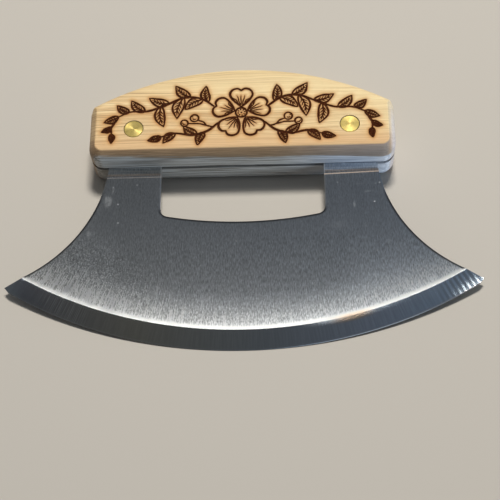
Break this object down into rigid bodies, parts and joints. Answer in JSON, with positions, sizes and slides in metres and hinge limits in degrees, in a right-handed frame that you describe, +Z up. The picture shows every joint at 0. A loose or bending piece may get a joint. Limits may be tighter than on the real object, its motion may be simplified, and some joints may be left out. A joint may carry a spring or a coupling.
{
  "type": "ulu knife",
  "caption": "Ulu knife: a crescent steel blade with a bevelled cutting edge and a finger opening, riveted by its two tangs into a slotted wooden handle with a bowed top.",
  "frame": {"origin": "middle of the footprint, on the surface that the knife lies on", "axes": "+X along the handle to the right as seen from the cutting edge, +Y from the cutting edge to the handle, +Z up"},
  "size_m": [0.1524, 0.0998, 0.0206],
  "materials": {
    "steel": "brushed across the blade, brighter at the bevel line",
    "wood": "pale close-grained hardwood, sanded and oiled, with a burnt line pattern",
    "brass": "turned faces, satin"
  },
  "bodies": {
    "root": {"blade": "steel", "handle": "wood", "rivet_left_tube": "brass", "rivet_left_post": "brass", "rivet_right_tube": "brass", "rivet_right_post": "brass"}
  },
  "joints": []
}
